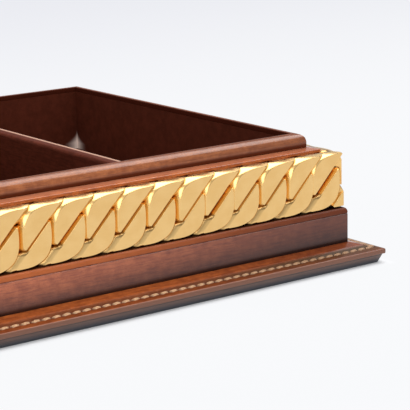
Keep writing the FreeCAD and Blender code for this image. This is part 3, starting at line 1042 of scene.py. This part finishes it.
def leaf_rings(pitch, reach, start, rise, flatness):
    """Rings (ring, point, xyz) of the front's upper left leaf, and the marks at their points.

    The first ring lies within the face. The arris is an arc from the face to the flank's first slope, or
    to a right angle where the leaf looks at the slot. A flank point moves out by sin(bend) while it sinks
    by 1 - cos(bend), both counted from where the flank starts, so the flank leaves the face at a blunt
    arris and is nearly upright in the middle of the chain. A flat limb sinks late: its depth is the
    flank's to the power of 1 + flatness.
    """
    outline = leaf_outline(pitch)
    outward, faces_slot = leaf_sides(outline)
    limb = limb_share(outline, outward, start, rise)
    growth = leaf_growth(outline, outward, faces_slot, limb, reach, pitch)
    last_turn = flank_start * (1 - flatness * limb) + (np.pi / 2 - flank_start) * faces_slot * (1 - limb)
    radius = arris_radius + slot_arris * faces_slot + limb_arris * limb * (1 - flatness)
    turn = np.linspace(0, 1, arris_rings)[:, None, None] * last_turn
    arris_out = outward * radius * (np.sin(turn) - np.sin(last_turn))
    arris_in = radius * (1 - np.cos(turn))
    bend = np.linspace(flank_start, flank_end, flank_rings + 1)[1:, None, None]
    bend_out = (np.sin(bend) - math.sin(flank_start)) / (math.sin(flank_end) - math.sin(flank_start))
    bend_in = (math.cos(flank_start) - np.cos(bend)) / (math.cos(flank_start) - math.cos(flank_end))
    flank_in = arris_in[-1] + (chain_half_depth - arris_in[-1]) * bend_in ** (1 + flatness * limb)
    rings = outline + np.concatenate([arris_out, growth * bend_out])
    centre = rings[0].mean(0)
    rings = np.concatenate([centre + (rings[:1] - centre) * face_ring, rings])
    y = np.concatenate([0 * arris_in[:1], arris_in, flank_in]) - chain_half_depth
    points = np.concatenate([rings[..., :1], y, rings[..., 1:]], -1)
    along, sunk = outline @ slot_direction - start, y[..., 0] / chain_half_depth + 1
    return points, leaf_marks(along, sunk, faces_slot[:, 0], limb[:, 0], rise, flatness)


print("rings and points of a leaf:", leaf_rings(link_pitch_wanted, **UPPER_LIMB)[0].shape[:2])

# %% [markdown]
# ## Laying the chain
#
# A real chain has some play. Where two links are pushed together the slot between them opens and shows
# the gold inside, and where they are drawn apart it closes to a dark line: the slot narrows by the sine of
# its angle for every step that the links move apart. So the chain is laid from a short list of slots, read
# from the right end of a side to its left end, and the last links share what is left over. The corner link
# is one link bent round the corner: its middle lies just before the corner on one side, which is the same
# as just outside the other side. Both runs are cut along the mitre, and the two parts meet there.

# %% Places of the links
slots_from_corner = np.array([2.1, 0.75, 0.9, 0.9, 1.9, 0.7, 0.9, 1.05, 1.0, 1.4, 0.6, 1.1]) * MM
corner_link_inset, corner_link_before, loose_links = 1.3 * MM, 2.75 * MM, 10


def link_places(side):
    """Middles of all links of a side, the two corner links included, and their pitch without play."""
    half_run = halves(side)[0] - chain_inset
    count = round(2 * (half_run - corner_link_inset) / link_pitch_wanted)
    pitch = 2 * (half_run - corner_link_inset) / count
    slots = np.resize(slots_from_corner, count)[::-1]
    apart = pitch - (slots - slot_width) / math.sin(slot_angle)
    apart[:loose_links] += (2 * half_run - apart.sum()) / loose_links
    return np.concatenate([[0], np.cumsum(apart)]) - half_run - corner_link_before, pitch


for side in SIDES:
    places, _ = link_places(side)
    print(f"{side}: {len(places)} links, {np.diff(places).mean() / MM:.2f} mm apart on average")

# %% Arrays of links
tilt, rhythm = math.radians(0.5), 4.1
# The last is the share of painted shade given to the flanks of a nearly closed slot.
closed_slot, slot_opening, narrow_slot_shade = 0.8 * MM, 0.8 * MM, 0.25
halfturns = np.array([[1, 1, 1], [-1, 1, -1], [-1, -1, 1], [1, -1, -1]])


def laid_links(side, chosen, loose, upper=UPPER_LIMB, lower=LOWER_LIMB):
    """Arrays for the chosen links, four leaves each: points, flat map, and marks.

    The four leaves are the upper and the lower one, turned by the half turns about the three axes. Each
    link is then turned in its own plane by a small angle, tilt * loose * sin(rhythm * number + 1). A slot
    that is nearly closed gets painted shade on its flanks, the more the narrower it is.
    """
    places, pitch = link_places(side)
    slots = (pitch - np.diff(places)) * math.sin(slot_angle) + slot_width
    narrow = np.append(1 - smooth((slots - closed_slot) / slot_opening), 0)
    number = np.arange(len(places))[chosen]
    leaf, marks = (np.stack(pair) for pair in zip(leaf_rings(pitch, **upper), leaf_rings(pitch, **lower)))
    leaves = leaf[[0, 1, 0, 1]] * halfturns[:, None, None]
    marks = np.broadcast_to(marks[[0, 1, 0, 1]], (len(number), 4, *marks.shape[1:]))
    angle = tilt * loose * np.sin(rhythm * number + 1)
    cos, sin = np.cos(angle)[:, None, None, None], np.sin(angle)[:, None, None, None]
    x = leaves[None, ..., 0] * cos - leaves[None, ..., 2] * sin
    z = leaves[None, ..., 0] * sin + leaves[None, ..., 2] * cos
    x = x + places[chosen][:, None, None, None]
    y = np.broadcast_to(leaves[None, ..., 1] + chain_inset + chain_half_depth - halves(side)[1], x.shape)
    points = np.stack([x, y, z + chain_axis], -1).reshape(-1, *leaf.shape[1:])
    flat = points[..., [0, 2]][:, :, np.arange(leaf.shape[2] + 1) % leaf.shape[2]]
    ground, deep, in_slot = np.moveaxis(marks, -1, 0)
    deep = np.maximum(deep, in_slot * narrow[chosen][:, None, None, None] * narrow_slot_shade)
    each_point = points.shape[:3]
    return points, flat, {"ground": ground.reshape(each_point), "deep": deep.reshape(each_point)}


# %% Runs of chain
first_link_gap, last_link_gap = 1.2 * MM, 0.2 * MM


def mitre_cut(mesh, side, clearances):
    """Cuts a mesh that lies along the front at a distance from the mitre planes of its side's ends."""
    half_run, half_depth = halves(side)
    work = bmesh.new()
    work.from_mesh(mesh)
    for end, clearance in clearances.items():
        corner = Vector((end * (half_run - clearance), -half_depth, 0))
        outwards = Vector((end, 1, 0)).normalized()
        everything = work.verts[:] + work.edges[:] + work.faces[:]
        bmesh.ops.bisect_plane(work, geom=everything, plane_co=corner, plane_no=outwards, clear_outer=True)
        open_edges = [edge for edge in work.edges if edge.is_boundary]
        bmesh.ops.holes_fill(work, edges=open_edges, sides=0)
    work.to_mesh(mesh)
    work.free()
    return mesh


for side in SIDES:
    mesh = ring_mesh(f"curb_chain_{side}", *laid_links(side, slice(1, -1), loose=1))
    mesh = turned(mitre_cut(mesh, side, {-1: first_link_gap, 1: last_link_gap}), side)
    add_piece(f"curb_chain_{side}", mesh, gilt, [f"chain_{side}"])

# %% Corner links
def half_corner_link(side, end):
    """The part of a corner link that lies on one side: end is -1 for its left end and 1 for its right."""
    chosen = slice(0, 1) if end < 0 else slice(-1, None)
    mesh = ring_mesh("half_link", *laid_links(side, chosen, loose=0, upper=NO_LIMB, lower=NO_LIMB))
    return turned(mitre_cut(mesh, side, {end: 0}), side)


gathered = bmesh.new()
for side in SIDES:
    for end in (-1, 1):
        gathered.from_mesh(half_corner_link(side, end))
corner_mesh = bpy.data.meshes.new("corner_links")
gathered.to_mesh(corner_mesh)
gathered.free()
add_piece("corner_links", corner_mesh, gilt, ["chain_corner_links"])

# %% [markdown]
# ## Inside
#
# Each divider is a board with leather drawn over its rounded top, and each compartment has a floor of thin
# card covered in leather, so its edges are soft and its middle stands a trace higher. A divider is a profile
# run from front to back. A floor is a stack of rounded rectangles, which the same function closes.


# %% Dividers
divider_edge, divider_rings = 1.3 * MM, 40


def divider_mesh(node):
    """The profile with two rounded upper corners, repeated from front to back.

    One upper arris carries a painted highlight: 1 within 1.7 mm of its side at the very top, 0 from
    2.6 mm on, and fading to 0 at 0.7 mm below the top.
    """
    low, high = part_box(node)
    corners = [(low.x, low.z, sharp), (low.x, high.z, divider_edge), (high.x, high.z, divider_edge),
               (high.x, low.z, sharp)]
    outline = divided(rounded_outline(corners, 8), 0.7 * MM)
    y = np.linspace(low.y, high.y, divider_rings)[:, None]
    points = np.stack(np.broadcast_arrays(outline[None, :, 0], y, outline[None, :, 1]), -1)
    flat = np.stack(np.broadcast_arrays(y, running_length(outline)[None]), -1)
    beside, below = high.x - points[..., 0], high.z - points[..., 2]
    arris_highlight = smooth((2.6 * MM - beside) / (0.9 * MM)) * smooth(1 - below / (0.7 * MM))
    return ring_mesh(node, points[None], flat[None], {"arris_highlight": arris_highlight})


for number in range(1, 4):
    add_piece(f"covered_divider_{number}", divider_mesh(f"divider_{number}"), lining_leather,
              [f"divider_{number}"])

# %% Floors of the compartments, and the pad under the foot
card_corner = 0.8 * MM
crown_steps = np.array([0.02, 0.06, 0.14, 0.3, 0.5, 0.75, 0.97])


def card_mesh(node, edge, crown):
    """Rounded rectangles of shrinking size: up the side, round the edge, and in over a low crown.

    The edge is a quarter circle. Over the crown the height falls from the middle by crown times the square
    of the share of the way to the edge.
    """
    low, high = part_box(node)
    half = np.array([high.x - low.x, high.y - low.y]) / 2
    bend = np.radians(np.linspace(0, 90, 6))
    inwards = crown_steps * half[1]
    inwards = np.minimum(inwards, half[0] * inwards / inwards.max() * crown_steps[-1])
    inset = np.concatenate([[edge / 2, 0], edge * (1 - np.cos(bend)), edge + inwards])
    height = np.concatenate([[0, edge / 2], high.z - low.z - crown - edge * (1 - np.sin(bend)),
                             high.z - low.z - crown * (1 - inwards / inwards.max()) ** 2])
    turn = np.radians(np.arange(4)[:, None] * 90 + np.linspace(0, 90, 5)[None]).ravel()
    sign = np.repeat([[1, 1], [-1, 1], [-1, -1], [1, -1]], 5, 0)
    radius = np.maximum(card_corner - inset, 0.05 * MM)[:, None]
    x = (low.x + high.x) / 2 + sign[:, 0] * (half[0] - inset[:, None] - radius) + radius * np.cos(turn)
    y = (low.y + high.y) / 2 + sign[:, 1] * (half[1] - inset[:, None] - radius) + radius * np.sin(turn)
    z = np.broadcast_to(low.z + height[:, None], x.shape)
    points = np.stack([x, y, z], -1)
    flat = points[..., [1, 0]][:, np.arange(len(turn) + 1) % len(turn)]
    return ring_mesh(node, points[None], flat[None])


for number in range(1, 5):
    floor = add_piece(f"covered_floor_{number}", card_mesh(f"floor_pad_{number}", 0.5 * MM, 0.15 * MM),
                      lining_leather, [f"floor_pad_{number}"])
under_pad = add_piece("suede_underside", card_mesh("foot_pad", 0.3 * MM, 0.05 * MM), suede,
                      ["foot_pad"])

# %% [markdown]
# ## Finishes for the solids that stay
#
# The remaining solids have their true shape already: walls, linings, boards, bearers, pins and screws. They
# only need a finish, put into their material slots. Their meshes have no flat map, which is fine: streaks
# that read it simply come out even on them.

# %% Finishes on the frame's own pieces
node_finishes = {
    "foot_board": bevel_leather,
    "wall": rim_leather,
    "wall_lining": lining_leather,
    "floor_board": plywood,
    "floor_bearers": plywood,
    "foot_screws": steel,
    "chain_pins": brass,
}


def without_side(name):
    """wall_front, for one, is called wall here, and foot_board keeps its name."""
    stem, _, last = name.rpartition("_")
    return stem if last in SIDES else name


for name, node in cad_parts.items():
    if without_side(name) in node_finishes:
        node.data.materials.clear()
        node.data.materials.append(node_finishes[without_side(name)])
print("solids shown with a new finish:", sum(not node.hide_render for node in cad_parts.values()))

# %% [markdown]
# ## Floor and light
#
# The photograph has a white sweep under soft light. The pale background is the floor's own colour: rays
# from the camera and from reflections see it at its written tone, mixed with a share of true shading that
# keeps the contact shadow. The lamps stay at a level at which a colour renders about as it is written: one
# large box overhead lights the faces that look up, and one from the left gives the front its soft sheen.


# %% Floor
floor_reach = 6.0
contact_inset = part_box("foot_board")[0].x + half_length + 1.4 * MM


def floor_material():
    """A glowing tone, of which a share is replaced by plain shading: a little, and more by the tray."""
    finish = Finish("studio floor")
    _, y, _ = coordinates(finish)
    tone = mixed(finish, step(finish, y, 0.0, 0.9), rgb(248, 249, 251), rgb(235, 236, 242))
    seen, glossy, through = finish.node("ShaderNodeLightPath", {}, {}, "Is Camera Ray", "Is Glossy Ray",
                                        "Is Transmission Ray")
    shaded = finish.node("ShaderNodeBsdfDiffuse", {}, {"Color": rgb(225, 226, 228)}, 0)
    glowing = finish.node("ShaderNodeEmission", {}, {"Color": tone, "Strength": 1.0}, 0)
    inset, _ = inset_and_height(finish)
    near = 1 - step(finish, contact_inset - inset, 0.5 * MM, 6 * MM)
    share = (seen + glossy + through) * (0.97 - near * 0.75)
    surface = finish.node("ShaderNodeMixShader", {}, {0: share, 1: shaded, 2: glowing}, 0)
    finish.node("ShaderNodeOutputMaterial", {}, {"Surface": surface})
    return finish.owner


floor_corners = [(x * floor_reach, y * floor_reach, 0) for x, y in ((-1, -1), (1, -1), (1, 1), (-1, 1))]
floor_mesh = bpy.data.meshes.new("studio_floor")
floor_mesh.from_pydata(floor_corners, [], [(0, 1, 2, 3)])
floor_mesh.materials.append(floor_material())
studio_floor = bpy.data.objects.new("studio_floor", floor_mesh)
bpy.context.scene.collection.objects.link(studio_floor)
studio_floor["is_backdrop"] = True
print(f"floor: {2 * floor_reach:.0f} m across")

# %% World and lamps
studio = Finish("studio", bpy.data.worlds)
bpy.context.scene.world = studio.owner
seen, glossy = studio.node("ShaderNodeLightPath", {}, {}, "Is Camera Ray", "Is Glossy Ray")
strength = 0.4 + seen * 0.5 + glossy * 0.2
sky = studio.node("ShaderNodeBackground", {}, {"Color": rgb(246, 248, 251), "Strength": strength}, 0)
studio.node("ShaderNodeOutputWorld", {}, {"Surface": sky})


def softbox(name, place, aim, size, radiance):
    """A square lamp whose face has the given radiance: power = pi * area * radiance."""
    lamp = bpy.data.lights.new(name, "AREA")
    lamp.size, lamp.energy = size, math.pi * size ** 2 * radiance
    holder = bpy.data.objects.new(name, lamp)
    turned_to = (Vector(aim) - Vector(place)).to_track_quat("-Z", "Y").to_matrix().to_4x4()
    holder.matrix_world = Matrix.Translation(place) @ turned_to
    bpy.context.scene.collection.objects.link(holder)
    print(f"{name}: {lamp.energy:.1f} W")


softbox("overhead_box", place=(0.3, 0.05, 0.85), aim=(0.1, 0, 0), size=1.1, radiance=3.3)
softbox("left_box", place=(-0.7, -0.9, 0.55), aim=(0, -0.05, 0.02), size=0.8, radiance=2.2)

# %% [markdown]
# ## Sizes again, and the end
#
# The box of the dressed model is set against the box of the frame, and the largest change between them
# is printed.

# %% Boxes of the frame and of the dressed model
dressed_box = [list(corner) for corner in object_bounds()]
growth = np.abs(np.array(dressed_box) - np.array(frame_box)).max()
print(f"largest change of the box: {growth / MM:.2f} mm")
